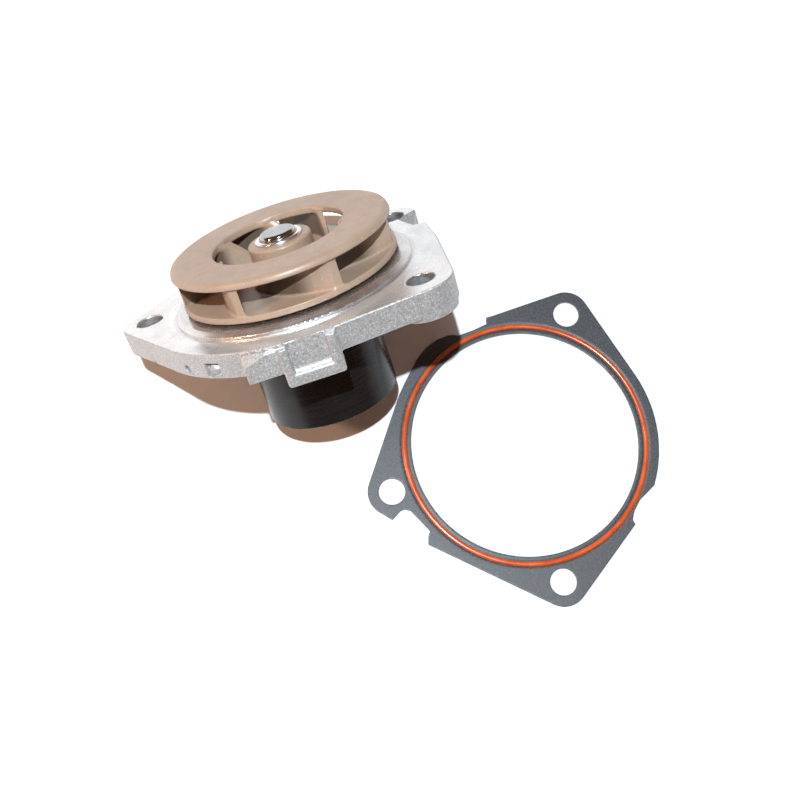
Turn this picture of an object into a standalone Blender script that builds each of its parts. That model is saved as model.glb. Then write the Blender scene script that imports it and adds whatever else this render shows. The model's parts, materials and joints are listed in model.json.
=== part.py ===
"""Automotive coolant pump lying on its side on a bench, with its loose flange gasket beside it.

The pump is designed about its shaft: local +Z runs along the shaft from the
pulley to the impeller, and z = 0 is the flange face that meets the engine.
The finished pump is then laid down so that it rests on the straight pad of
its flange and on the rim of its pulley.
"""

import math

import bmesh
import bpy
from mathutils import Matrix, Vector

MM = 0.001

# --- flange and housing (mm) ---
BOLT_CIRCLE_R = 49.3
BOLT_HOLE_R = 4.5
EAR_LEFT_DEG, EAR_RIGHT_DEG, EAR_BACK_DEG = 149.2, 296.7, 19.6
EARS = ((EAR_LEFT_DEG, 9.0), (EAR_RIGHT_DEG, 10.0), (EAR_BACK_DEG, 8.4))
FLANGE_R = 47.6
FLANGE_T = 8.4
RELIEF_R = 46.0
RELIEF_FROM_DEG, RELIEF_TO_DEG = -2.0, 13.6
SPIGOT_R = 39.1
SPIGOT_H = 2.2
NOSE_R = 15.75
NOSE_END = -36.0
BEARING_BORE_R = 13.05
LUG_DEG, LUG_D, LUG_HALF_W, LUG_END = 248.0, 48.5, 8.8, -14.0
SIDE_PAD_D, SIDE_PAD_FROM, SIDE_PAD_TO = 47.4, -27.0, -8.0
REST_DEG, REST_D, REST_FROM, REST_TO, REST_T = 76.9, 48.0, -16.0, 16.5, 8.6
BACK_LUG_DEG, BACK_LUG_D, BACK_LUG_HALF_W, BACK_LUG_END = 107.5, 48.4, 7.0, -10.0

# --- rotor (mm) ---
SHAFT_R = 6.0
SHAFT_TOP, SHAFT_BOTTOM = 18.3, -41.2
PULLEY_R = 21.75
PULLEY_WALL = 3.0
PULLEY_OPEN, PULLEY_END = -13.0, -41.7
IMPELLER_R = 35.1
SHROUD_R = 36.0
EYE_R = 21.5
VANES = 7
VANE_TIP_DEG = 219.9
VANE_WRAP_DEG = 45.6
VANE_INNER_R = 14.5

# --- shaft bearing (mm) ---
RACE_R = 9.3
PITCH_R = 7.65
BALL_R = 1.5
ROLLER_R = 1.45
ROLLER_L = 7.0
ROLLING_COUNT = 8
BALL_ROW_Z = -17.6
ROLLER_ROW_Z = -28.4

# --- gasket (mm) ---
GASKET_T = 1.0
GASKET_BORE_R = 39.4
GASKET_RING_R = 46.6
GASKET_EAR_R = 8.3
BEAD_R = 42.0
BEAD_W = 2.2
BEAD_H = 0.45

# --- how the set lies on the bench ---
TILT = math.atan2(REST_D - PULLEY_R, -PULLEY_END - REST_T)
HEADING_DEG = 23.5
CENTRE_H = REST_D * math.cos(TILT) + REST_T * math.sin(TILT)
PUMP_X, PUMP_Y = -35.25, 30.09
GASKET_X, GASKET_Y = PUMP_X + 79.23, PUMP_Y - 41.61

TURN = 40


def rad(deg):
    return math.radians(deg)


def polar(r, deg):
    return (r * math.cos(rad(deg)), r * math.sin(rad(deg)))


# ---------------------------------------------------------------- scene set-up
for old in list(bpy.data.objects):
    bpy.data.objects.remove(old, do_unlink=True)

parts = bpy.data.collections.new("water_pump")
cutters = bpy.data.collections.new("cutters")
bpy.context.scene.collection.children.link(parts)
bpy.context.scene.collection.children.link(cutters)


def empty(name, matrix, parent=None):
    obj = bpy.data.objects.new(name, None)
    obj.parent = parent
    obj.matrix_basis = matrix
    parts.objects.link(obj)
    return obj


lay_down = (
    Matrix.Translation(Vector((PUMP_X, PUMP_Y, CENTRE_H)) * MM)
    @ Matrix.Rotation(rad(HEADING_DEG), 4, "Z")
    @ Matrix.Rotation(-(math.pi / 2 - TILT), 4, "X")
    @ Matrix.Rotation(rad(90.0 - REST_DEG), 4, "Z")
)
pump_set = empty("pump_set", lay_down)
rotor_axis = empty("rotor_axis", Matrix.Identity(4), pump_set)
ball_axis = empty("ball_axis", Matrix.Translation((0, 0, BALL_ROW_Z * MM)), pump_set)
roller_axis = empty("roller_axis", Matrix.Translation((0, 0, ROLLER_ROW_Z * MM)), pump_set)
gasket_set = empty("gasket_set", Matrix.Translation(Vector((GASKET_X, GASKET_Y, 0)) * MM))

MATERIALS = {
    "cast_aluminium": ((0.60, 0.58, 0.57), 0.55, 0.9),
    "steel": ((0.62, 0.62, 0.64), 0.22, 1.0),
    "polished_steel": ((0.75, 0.75, 0.77), 0.12, 1.0),
    "bearing_steel": ((0.55, 0.56, 0.58), 0.25, 1.0),
    "pulley_black": ((0.02, 0.018, 0.02), 0.22, 0.0),
    "impeller_plastic": ((0.55, 0.40, 0.30), 0.5, 0.0),
    "seal_rubber": ((0.03, 0.03, 0.03), 0.6, 0.0),
    "seal_metal": ((0.65, 0.58, 0.45), 0.3, 1.0),
    "carbon": ((0.06, 0.06, 0.065), 0.4, 0.0),
    "cage_plastic": ((0.16, 0.30, 0.20), 0.5, 0.0),
    "gasket_coating": ((0.07, 0.075, 0.085), 0.6, 0.0),
    "bead_silicone": ((0.62, 0.10, 0.02), 0.4, 0.0),
}


def material(obj, kind):
    colour, roughness, metallic = MATERIALS[kind]
    mat = bpy.data.materials.new(obj.name)
    mat.use_nodes = True
    shader = mat.node_tree.nodes["Principled BSDF"]
    shader.inputs["Base Color"].default_value = (*colour, 1.0)
    shader.inputs["Roughness"].default_value = roughness
    shader.inputs["Metallic"].default_value = metallic
    obj.data.materials.clear()
    obj.data.materials.append(mat)
    return obj


def place(name, mesh, parent, collection=parts, at=None):
    obj = bpy.data.objects.new(name, mesh)
    obj.parent = parent
    if at is not None:
        obj.matrix_basis = at
    collection.objects.link(obj)
    if collection is cutters:
        obj.hide_render = True
        obj.display_type = "WIRE"
    return obj


def smooth(obj, deg=35.0):
    obj.data.shade_smooth()
    obj.data.set_sharp_from_angle(angle=rad(deg))
    return obj


def turned(name, profile, parent, collection=parts, steps=TURN, closed=True, at=None):
    """A body turned about local Z. The (r, z) profile runs down its outer side."""
    mesh = bpy.data.meshes.new(name)
    points = [(r * MM, 0.0, z * MM) for r, z in profile]
    edges = [(i, i + 1) for i in range(len(points) - 1)]
    if closed:
        edges.append((len(points) - 1, 0))
    mesh.from_pydata(points, edges, [])
    obj = place(name, mesh, parent, collection, at)
    screw = obj.modifiers.new("turn", "SCREW")
    screw.axis = "Z"
    screw.angle = 2 * math.pi
    screw.steps = steps
    screw.render_steps = steps
    screw.use_merge_vertices = True
    screw.merge_threshold = 0.00001
    return obj


def block(name, centre, size, parent, collection=cutters, turn_deg=0.0, about=None):
    """A box whose sides follow a direction turned about local Z."""
    mesh = bpy.data.meshes.new(name)
    bm = bmesh.new()
    bmesh.ops.create_cube(bm, size=1.0)
    bmesh.ops.scale(bm, vec=Vector(size) * MM, verts=bm.verts)
    bmesh.ops.translate(bm, vec=Vector(centre) * MM, verts=bm.verts)
    bmesh.ops.rotate(bm, cent=(0, 0, 0), matrix=Matrix.Rotation(rad(turn_deg), 3, "Z"), verts=bm.verts)
    bm.to_mesh(mesh)
    bm.free()
    return place(name, mesh, parent, collection, about)


def rod(name, r, length, matrix, parent, collection=cutters, segments=24, r2=None):
    mesh = bpy.data.meshes.new(name)
    bm = bmesh.new()
    bmesh.ops.create_cone(
        bm, cap_ends=True, segments=segments, radius1=r * MM,
        radius2=(r if r2 is None else r2) * MM, depth=length * MM,
    )
    bmesh.ops.transform(bm, matrix=matrix, verts=bm.verts)
    bm.to_mesh(mesh)
    bm.free()
    return place(name, mesh, parent, collection)


def shift(x, y, z):
    return Matrix.Translation(Vector((x, y, z)) * MM)


def radial(deg, r, z):
    """A frame at radius r whose local Z points outwards along the direction deg."""
    return Matrix.Rotation(rad(deg), 4, "Z") @ shift(r, 0, z) @ Matrix.Rotation(math.pi / 2, 4, "Y")


def slab(name, outline, z_low, z_high, parent, collection=cutters):
    """A flat outline made from a filled curve and turned into a closed mesh."""
    curve = bpy.data.curves.new(name + "_outline", "CURVE")
    curve.dimensions = "2D"
    curve.fill_mode = "BOTH"
    curve.extrude = (z_high - z_low) / 2 * MM
    spline = curve.splines.new("POLY")
    spline.points.add(len(outline) - 1)
    for point, (x, y) in zip(spline.points, outline):
        point.co = (x * MM, y * MM, 0.0, 1.0)
    spline.use_cyclic_u = True
    guide = bpy.data.objects.new(name + "_guide", curve)
    parts.objects.link(guide)
    graph = bpy.context.evaluated_depsgraph_get()
    graph.update()
    mesh = bpy.data.meshes.new_from_object(guide.evaluated_get(graph))
    bpy.data.objects.remove(guide, do_unlink=True)
    bm = bmesh.new()
    bm.from_mesh(mesh)
    bmesh.ops.remove_doubles(bm, verts=bm.verts, dist=0.000001)
    bmesh.ops.translate(bm, vec=(0, 0, (z_low + z_high) / 2 * MM), verts=bm.verts)
    bmesh.ops.recalc_face_normals(bm, faces=bm.faces)
    bm.to_mesh(mesh)
    bm.free()
    mesh.name = name
    return place(name, mesh, parent, collection)


def boolean(obj, other, operation):
    mod = obj.modifiers.new(other.name, "BOOLEAN")
    mod.operation = operation
    mod.object = other
    mod.solver = "EXACT"
    return obj


def join(obj, *others):
    for other in others:
        boolean(obj, other, "UNION")


def cut(obj, *others):
    for other in others:
        boolean(obj, other, "DIFFERENCE")


# ---------------------------------------------------------------- outlines
def ear_reach(deg, ear_deg, ear_r, ring_r, centre_r=BOLT_CIRCLE_R):
    """Radius of the hull of the ring and one ear circle in the direction deg."""
    delta = abs((deg - ear_deg + 180.0) % 360.0 - 180.0)
    tangent = math.degrees(math.acos((ring_r - ear_r) / centre_r))
    if delta >= tangent:
        return ring_r
    touch = math.degrees(math.atan2(ear_r * math.sin(rad(tangent)), centre_r + ear_r * math.cos(rad(tangent))))
    if delta > touch:
        return ring_r / math.cos(rad(tangent - delta))
    s = centre_r * math.sin(rad(delta))
    return centre_r * math.cos(rad(delta)) + math.sqrt(ear_r * ear_r - s * s)


def outline_angles(ears, step=5.0, fine=1.8):
    """Directions for an outline: coarse round the ring, finer round each ear."""
    angles = {round(k * step, 3) for k in range(int(360 / step))}
    for ear_deg, _ in ears:
        angles |= {round((ear_deg + k * fine) % 360.0, 3) for k in range(-6, 7)}
    kept = []
    for a in sorted(angles):
        if not kept or a - kept[-1] > 1.1:
            kept.append(a)
    return kept


def in_sector(deg, low, high):
    return (deg - low) % 360.0 < (high - low) % 360.0


def flange_outline():
    points = []
    for a in outline_angles(EARS):
        if in_sector(a, RELIEF_FROM_DEG, RELIEF_TO_DEG):
            continue
        points.append((a, max(ear_reach(a, e, r, FLANGE_R) for e, r in EARS)))
    low, high = RELIEF_FROM_DEG % 360.0, RELIEF_TO_DEG % 360.0
    edge_low = max(ear_reach(low, e, r, FLANGE_R) for e, r in EARS)
    edge_high = max(ear_reach(high, e, r, FLANGE_R) for e, r in EARS)
    points += [(low, edge_low), (low + 2.6, RELIEF_R)]
    points += [((low + k) % 360.0, RELIEF_R / math.cos(rad(k - 6.0))) for k in (6.0, 9.0, 12.0)]
    points += [(high - 0.4, RELIEF_R + 1.6), (high, edge_high)]
    points.sort()
    return [polar(r, a) for a, r in points]


# ---------------------------------------------------------------- housing
def hole_at(name, deg, r, parent, collection=cutters, length=40.0, circle=BOLT_CIRCLE_R):
    x, y = polar(circle, deg)
    return rod(name, r, length, shift(x, y, 0), parent, collection, segments=20)


housing = slab("housing", flange_outline(), -FLANGE_T, 0.0, pump_set, parts)
material(housing, "cast_aluminium")

body_core = turned(
    "body_core",
    [
        (0.0, SPIGOT_H), (SPIGOT_R - 0.6, SPIGOT_H), (SPIGOT_R, SPIGOT_H - 0.6), (SPIGOT_R, -1.5),
        (20.0, -1.5), (20.0, -9.4), (NOSE_R + 1.6, -10.0), (NOSE_R, -12.5),
        (NOSE_R, NOSE_END + 0.8), (NOSE_R - 0.8, NOSE_END), (0.0, NOSE_END),
    ],
    pump_set, cutters, closed=False,
)
boss_x, boss_y = polar(BOLT_CIRCLE_R, EAR_RIGHT_DEG)
ear_boss = rod("ear_boss", 9.0, 10.4, shift(boss_x, boss_y, -0.4 - 10.4 / 2), pump_set, segments=32)
lug = block("lug", (44.0 + (LUG_D - 44.0) / 2, 0, (LUG_END - 0.3) / 2), (LUG_D - 44.0, 2 * LUG_HALF_W, -LUG_END - 0.3), pump_set, turn_deg=LUG_DEG)
lug_panel = block("lug_panel", (LUG_D + 0.4, -0.6, -4.6), (3.2, 11.6, 9.6), pump_set, turn_deg=LUG_DEG)
side_pad = block(
    "side_pad",
    (40.0 + (SIDE_PAD_D - 40.0) / 2, (SIDE_PAD_FROM + 7.0 + SIDE_PAD_TO) / 2, -0.35 - 9.0 / 2),
    (SIDE_PAD_D - 40.0, SIDE_PAD_TO - SIDE_PAD_FROM - 7.0, 9.0), pump_set, turn_deg=LUG_DEG,
)
rest_pad = block(
    "rest_pad",
    (40.0 + (REST_D - 40.0) / 2, (REST_FROM + REST_TO) / 2, -0.25 - (REST_T - 0.25) / 2),
    (REST_D - 40.0, REST_TO - REST_FROM, REST_T - 0.25), pump_set, turn_deg=REST_DEG,
)
back_lug = block(
    "back_lug", (43.0 + (BACK_LUG_D - 43.0) / 2, 0, (BACK_LUG_END - 0.4) / 2),
    (BACK_LUG_D - 43.0, 2 * BACK_LUG_HALF_W, -BACK_LUG_END - 0.4), pump_set, turn_deg=BACK_LUG_DEG,
)
bore_core = turned(
    "bore_core",
    [
        (0.0, SPIGOT_H + 1.0), (18.2, SPIGOT_H + 1.0), (18.2, -1.6), (15.1, -1.6), (15.1, -11.0),
        (BEARING_BORE_R, -11.8), (BEARING_BORE_R, NOSE_END - 1.0), (0.0, NOSE_END - 1.0),
    ],
    pump_set, cutters, closed=False, at=Matrix.Rotation(rad(3.0), 4, "Z"),
)
bolt_holes = [
    hole_at("bolt_hole_left", EAR_LEFT_DEG, BOLT_HOLE_R, pump_set),
    hole_at("bolt_hole_right", EAR_RIGHT_DEG, BOLT_HOLE_R, pump_set),
    hole_at("bolt_hole_back", EAR_BACK_DEG, BOLT_HOLE_R, pump_set),
]
weep_hole = rod("weep_hole", 1.35, 36.0, radial(196.4, 32.0, -5.5), pump_set, segments=16)
wall_pocket = block("wall_pocket", (47.4, 0, -5.2), (4.0, 5.0, 3.9), pump_set, turn_deg=210.5)

ring_pockets = bmesh.new()
RIBS = 6
for k in range(RIBS):
    start, end = k * 360.0 / RIBS + 7.5, (k + 1) * 360.0 / RIBS - 7.5
    steps = 4
    rows = []
    for j in range(steps + 1):
        a = start + (end - start) * j / steps
        rows.append([
            ring_pockets.verts.new(Vector((*polar(r, a), z)) * MM)
            for r, z in ((24.5, -4.2), (36.5, -4.2), (37.2, -9.4), (23.8, -9.4))
        ])
    for near, far in zip(rows, rows[1:]):
        for i in range(4):
            ring_pockets.faces.new((near[i], near[(i + 1) % 4], far[(i + 1) % 4], far[i]))
    ring_pockets.faces.new(rows[0][::-1])
    ring_pockets.faces.new(rows[-1])
bmesh.ops.recalc_face_normals(ring_pockets, faces=ring_pockets.faces)
pocket_mesh = bpy.data.meshes.new("ring_pockets")
ring_pockets.to_mesh(pocket_mesh)
ring_pockets.free()
pockets = place("ring_pockets", pocket_mesh, pump_set, cutters)

cut(housing, pockets)
join(housing, body_core, ear_boss, lug, side_pad, rest_pad, back_lug)
cut(housing, bore_core, *bolt_holes, lug_panel, weep_hole, wall_pocket)
smooth(housing)


# ---------------------------------------------------------------- rotor
def solid(name, profile, kind, parent, steps=TURN, closed=True, at=None):
    obj = turned(name, profile, parent, steps=steps, closed=closed, at=at)
    return material(smooth(obj), kind)


solid(
    "shaft",
    [
        (0.0, SHAFT_TOP), (SHAFT_R - 0.6, SHAFT_TOP), (SHAFT_R, SHAFT_TOP - 0.6),
        (SHAFT_R, SHAFT_BOTTOM + 0.6), (SHAFT_R - 0.6, SHAFT_BOTTOM), (0.0, SHAFT_BOTTOM),
    ],
    "polished_steel", rotor_axis, closed=False,
)
solid(
    "impeller_insert",
    [
        (7.1, 16.9), (7.7, 16.3), (7.7, 2.3), (SHAFT_R + 0.05, 2.3), (SHAFT_R + 0.05, 16.9),
    ],
    "steel", rotor_axis,
)
solid(
    "pulley",
    [
        (PULLEY_R - 0.3, PULLEY_OPEN), (PULLEY_R, PULLEY_OPEN - 0.3),
        (PULLEY_R, PULLEY_END + 0.3), (PULLEY_R - 0.3, PULLEY_END),
        (11.0, PULLEY_END), (9.6, PULLEY_END + 0.7), (SHAFT_R + 0.05, PULLEY_END + 0.7),
        (SHAFT_R + 0.05, -37.2), (9.2, -37.2), (9.2, -38.2),
        (PULLEY_R - PULLEY_WALL - 1.0, -38.2), (PULLEY_R - PULLEY_WALL, -37.2),
        (PULLEY_R - PULLEY_WALL, PULLEY_OPEN),
    ],
    "pulley_black", rotor_axis,
)

impeller = solid(
    "impeller",
    [
        (9.7, 15.5), (10.3, 14.9), (10.3, 7.4), (12.5, 5.2), (IMPELLER_R - 0.4, 5.2), (IMPELLER_R, 4.8),
        (IMPELLER_R, 3.2), (14.5, 3.2), (13.4, 2.5), (7.76, 2.5), (7.76, 15.5),
    ],
    "impeller_plastic", rotor_axis, steps=44,
)
shroud = turned(
    "shroud",
    [
        (EYE_R + 0.5, 16.7), (SHROUD_R - 0.9, 16.7), (SHROUD_R, 15.8), (SHROUD_R, 14.9), (SHROUD_R - 0.7, 14.2),
        (EYE_R + 0.3, 14.2), (EYE_R, 14.5), (EYE_R, 16.2),
    ],
    rotor_axis, cutters, steps=44,
)


def vane_cage():
    """Backward-curved vanes: each follows a logarithmic spiral, and its inner end slopes down into the eye."""
    bm = bmesh.new()
    stations = 8
    tip_r = IMPELLER_R - 0.25
    for k in range(VANES):
        tip = VANE_TIP_DEG + k * 360.0 / VANES
        rows = []
        for j in range(stations + 1):
            t = j / stations
            r = VANE_INNER_R * (tip_r / VANE_INNER_R) ** t
            growth = math.log(tip_r / 19.6) / rad(VANE_WRAP_DEG)
            a = tip - math.degrees(math.log(tip_r / r) / growth)
            centre = Vector(polar(r, a))
            radial_dir = Vector(polar(1.0, a))
            round_dir = Vector((-radial_dir.y, radial_dir.x))
            along = (radial_dir * growth + round_dir).normalized()
            side = Vector((along.y, -along.x))
            half = 0.85
            low = 4.2
            high = 15.5 if r > 20.8 else max(7.6, 15.5 - (20.8 - r) * 1.25)
            rows.append([
                bm.verts.new(Vector((centre.x + side.x * half * s, centre.y + side.y * half * s, z)) * MM)
                for s, z in ((-1, low), (1, low), (1, high), (-1, high))
            ])
        for near, far in zip(rows, rows[1:]):
            for i in range(4):
                bm.faces.new((near[i], near[(i + 1) % 4], far[(i + 1) % 4], far[i]))
        bm.faces.new(rows[0][::-1])
        bm.faces.new(rows[-1])
    bmesh.ops.recalc_face_normals(bm, faces=bm.faces)
    mesh = bpy.data.meshes.new("vanes")
    bm.to_mesh(mesh)
    bm.free()
    return place("vanes", mesh, rotor_axis, cutters)


join(impeller, vane_cage(), shroud)

# ---------------------------------------------------------------- shaft bearing
solid(
    "bearing_outer_ring",
    [
        (12.5, -12.4), (12.95, -12.9), (12.95, -35.2), (12.5, -35.7),
        (10.4, -35.7), (10.4, -33.9), (RACE_R, -33.9), (RACE_R, -14.2), (10.4, -14.2), (10.4, -12.4),
    ],
    "bearing_steel", pump_set, steps=36,
)
for end, top in (("front", -12.8), ("rear", -34.2)):
    solid(
        f"bearing_seal_{end}",
        [(10.15, top), (10.15, top - 1.0), (SHAFT_R + 0.08, top - 1.0), (SHAFT_R + 0.08, top)],
        "seal_rubber", pump_set, steps=28,
    )


def cage(name, half_h, z_axis, cutter_list, parent):
    ring = turned(
        name, [(8.25, half_h), (8.25, -half_h), (7.05, -half_h), (7.05, half_h)], z_axis, steps=32,
    )
    for other in cutter_list:
        boolean(ring, other, "DIFFERENCE")
    return material(smooth(ring), "cage_plastic")


def gang(name, make_one, count, parent):
    """One cutter object that holds the same shape at each rolling place."""
    bm = bmesh.new()
    for k in range(count):
        make_one(bm, k * 360.0 / count)
    mesh = bpy.data.meshes.new(name)
    bm.to_mesh(mesh)
    bm.free()
    return place(name, mesh, parent, cutters)


def ball_window(bm, deg):
    bmesh.ops.create_cone(
        bm, cap_ends=True, segments=10, radius1=1.68 * MM, radius2=1.68 * MM, depth=4.0 * MM,
        matrix=radial(deg, PITCH_R, 0.0),
    )


def roller_window(bm, deg):
    bmesh.ops.create_cube(
        bm, size=1.0,
        matrix=Matrix.Rotation(rad(deg), 4, "Z") @ shift(PITCH_R, 0, 0)
        @ Matrix.Diagonal(Vector((4.0, 2 * ROLLER_R + 0.3, ROLLER_L + 0.4, 1.0 / MM)) * MM),
    )


cage("ball_cage", 2.1, ball_axis, [gang("ball_windows", ball_window, ROLLING_COUNT, ball_axis)], ball_axis)
cage("roller_cage", 4.5, roller_axis, [gang("roller_windows", roller_window, ROLLING_COUNT, roller_axis)], roller_axis)

ball_mesh = bpy.data.meshes.new("ball")
bm = bmesh.new()
bmesh.ops.create_uvsphere(bm, u_segments=12, v_segments=6, radius=BALL_R * MM)
bm.to_mesh(ball_mesh)
bm.free()
roller_mesh = bpy.data.meshes.new("roller")
bm = bmesh.new()
bmesh.ops.create_cone(bm, cap_ends=True, segments=14, radius1=ROLLER_R * MM, radius2=ROLLER_R * MM, depth=ROLLER_L * MM)
bm.to_mesh(roller_mesh)
bm.free()
for k in range(ROLLING_COUNT):
    x, y = polar(PITCH_R, k * 360.0 / ROLLING_COUNT)
    ball = place(f"ball_{k + 1}", ball_mesh.copy(), ball_axis, at=shift(x, y, 0))
    material(smooth(ball), "bearing_steel")
    roller = place(f"roller_{k + 1}", roller_mesh.copy(), roller_axis, at=shift(x, y, 0))
    material(smooth(roller), "bearing_steel")

# ---------------------------------------------------------------- mechanical seal
solid(
    "seal_cup",
    [
        (17.4, -0.8), (17.4, -1.4), (14.95, -1.4), (14.95, -10.2), (14.4, -10.8), (7.2, -10.8),
        (7.2, -6.0), (7.8, -6.0), (7.8, -10.2), (14.0, -10.2), (14.35, -9.8), (14.35, -0.8),
    ],
    "seal_metal", pump_set,
)
solid(
    "seal_bellows",
    [
        (9.4, -4.6), (10.3, -5.4), (9.3, -6.4), (10.6, -7.6), (10.6, -9.9),
        (8.1, -9.9), (8.1, -7.6), (8.4, -6.4), (8.1, -5.4), (8.1, -4.6),
    ],
    "seal_rubber", pump_set, steps=24,
)
coil = bpy.data.curves.new("seal_spring", "CURVE")
coil.dimensions = "3D"
coil.bevel_depth = 0.5 * MM
coil.bevel_resolution = 1
coil.use_fill_caps = True
spring_turns, per_turn = 2.75, 16
wire = coil.splines.new("POLY")
count = int(spring_turns * per_turn) + 1
wire.points.add(count - 1)
for i, point in enumerate(wire.points):
    a = 2 * math.pi * i / per_turn
    z = -9.4 + (4.2 * i / (count - 1))
    point.co = (12.3 * MM * math.cos(a), 12.3 * MM * math.sin(a), z * MM, 1.0)
spring = bpy.data.objects.new("seal_spring", coil)
spring.parent = pump_set
parts.objects.link(spring)
material(spring, "steel")
solid(
    "seal_carbon_ring",
    [
        (9.4, -0.90), (11.6, -0.90), (11.6, -2.2), (13.4, -2.2), (13.4, -4.3), (8.1, -4.3), (8.1, -2.2), (9.4, -2.2),
    ],
    "carbon", pump_set, steps=32,
)
solid(
    "seal_mating_ring",
    [(12.8, 1.2), (12.8, -0.84), (7.6, -0.84), (7.6, 1.2)],
    "carbon", rotor_axis, steps=32,
)
solid(
    "seal_mating_boot",
    [(12.0, 2.0), (12.0, 1.26), (7.5, 1.26), (7.5, -0.8), (SHAFT_R + 0.05, -0.8), (SHAFT_R + 0.05, 2.0)],
    "seal_rubber", rotor_axis,
)

# ---------------------------------------------------------------- gasket
GASKET_EARS = ((71.7, GASKET_EAR_R), (201.2, GASKET_EAR_R), (284.0, GASKET_EAR_R))


def ear_edge(deg):
    return max(ear_reach(deg, e, r, GASKET_RING_R) for e, r in GASKET_EARS)


def gasket_outline():
    """Ring and three ears, with the two lug notches, the hook tab and the straight shoulder."""
    notch_r = 44.6
    shoulder_r = 47.6
    line_deg = 284.0 - math.degrees(math.acos((GASKET_RING_R - GASKET_EAR_R) / BOLT_CIRCLE_R))
    free = [(a, ear_edge(a)) for a in outline_angles(GASKET_EARS, step=4.0)]
    points = [p for p in free if p[0] < 103.0]
    points += [(103.5, ear_edge(103.5)), (106.2, 46.9), (106.9, notch_r), (114.0, 44.0), (121.2, notch_r), (122.6, 45.6)]
    points += [(125.0, 46.6), (130.0, shoulder_r), (136.0, 48.0), (142.0, shoulder_r), (147.5, 46.9), (153.0, GASKET_RING_R)]
    points += [p for p in free if 158.0 < p[0] < 208.0]
    points += [(209.6, ear_edge(209.6)), (211.0, 53.4), (210.4, 51.5), (209.6, 49.4), (209.9, 47.9), (211.6, 46.5)]
    points += [(217.0, 45.7), (223.3, 45.4), (224.6, 47.2)]
    points += [(a, GASKET_RING_R / math.cos(rad(a - line_deg))) for a in (226.8, 235.0)]
    points += [p for p in free if 245.0 < p[0] < 322.0]
    points += [(323.0, GASKET_RING_R), (324.0, 44.9), (327.5, 43.9), (333.6, 43.8), (338.5, 45.3), (342.0, GASKET_RING_R)]
    points += [p for p in free if p[0] > 343.0]
    return [polar(r, a) for a, r in points]


gasket = slab("gasket_carrier", gasket_outline(), 0.0, GASKET_T, gasket_set, parts)
material(gasket, "gasket_coating")
gasket_bore = rod("gasket_bore", GASKET_BORE_R, 10.0, Matrix.Identity(4), gasket_set, segments=72)
cut(gasket, gasket_bore, *[
    hole_at(f"gasket_hole_{i + 1}", deg, BOLT_HOLE_R, gasket_set, length=10.0)
    for i, (deg, _) in enumerate(GASKET_EARS)
])
smooth(gasket)
half = BEAD_W / 2
solid(
    "sealing_bead",
    [
        (BEAD_R + 0.3 * half, GASKET_T + 0.05 + BEAD_H), (BEAD_R + 0.8 * half, GASKET_T + 0.05 + 0.6 * BEAD_H),
        (BEAD_R + half, GASKET_T + 0.05), (BEAD_R - half, GASKET_T + 0.05),
        (BEAD_R - 0.8 * half, GASKET_T + 0.05 + 0.6 * BEAD_H), (BEAD_R - 0.3 * half, GASKET_T + 0.05 + BEAD_H),
    ],
    "bead_silicone", gasket_set, steps=72,
)
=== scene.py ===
"""Looks of a car coolant pump lying on a bench with its loose flange gasket beside it.

The CAD frame gives every place and size. This script replaces the visible
castings and mouldings with finer meshes, gives every surface a procedural
material, and sets the floor, the lights and the camera.
"""

import json
import math

import bmesh
import bpy
import numpy as np
from mathutils import Matrix, Vector


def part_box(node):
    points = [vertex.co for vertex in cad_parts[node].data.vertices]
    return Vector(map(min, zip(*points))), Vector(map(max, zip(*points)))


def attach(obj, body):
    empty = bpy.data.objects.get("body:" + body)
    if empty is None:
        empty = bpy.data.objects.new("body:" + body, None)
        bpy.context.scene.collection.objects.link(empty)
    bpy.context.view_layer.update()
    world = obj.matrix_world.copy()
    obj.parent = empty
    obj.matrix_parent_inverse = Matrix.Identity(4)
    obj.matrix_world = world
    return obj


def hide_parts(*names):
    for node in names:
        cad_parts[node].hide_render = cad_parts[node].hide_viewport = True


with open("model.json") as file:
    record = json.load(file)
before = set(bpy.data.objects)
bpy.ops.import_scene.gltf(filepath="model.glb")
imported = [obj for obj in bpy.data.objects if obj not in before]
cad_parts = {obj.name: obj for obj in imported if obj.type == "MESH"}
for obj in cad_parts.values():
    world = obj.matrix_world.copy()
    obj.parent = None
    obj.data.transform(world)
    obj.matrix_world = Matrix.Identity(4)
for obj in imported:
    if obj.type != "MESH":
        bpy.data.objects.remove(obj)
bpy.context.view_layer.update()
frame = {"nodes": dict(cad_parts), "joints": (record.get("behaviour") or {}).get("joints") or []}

MM = 0.001

# ------------------------------------------------------------------ the frames
REST_D, REST_T, PULLEY_R, PULLEY_END = 48.0, 8.6, 21.75, -41.7
TILT = math.atan2(REST_D - PULLEY_R, -PULLEY_END - REST_T)
HEADING = math.radians(23.5)
spin = next(j for j in frame["joints"] if j["name"] == "shaft_spin")
pump_place = (
    Matrix.Translation(Vector(spin["pos_m"]))
    @ Matrix.Rotation(HEADING, 4, "Z")
    @ Matrix.Rotation(-(math.pi / 2 - TILT), 4, "X")
    @ Matrix.Rotation(math.radians(13.1), 4, "Z")
)
bead_low, bead_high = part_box("sealing_bead")
gasket_centre = Vector(((bead_low.x + bead_high.x) / 2, (bead_low.y + bead_high.y) / 2, 0.0))
gasket_place = Matrix.Translation(gasket_centre)


# ------------------------------------------------------------------ solid fields
def smin(a, b, k):
    h = np.clip(0.5 + 0.5 * (b - a) / k, 0.0, 1.0)
    return b * (1 - h) + a * h - k * h * (1 - h)


def smax(a, b, k):
    return -smin(-a, -b, k)


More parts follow.
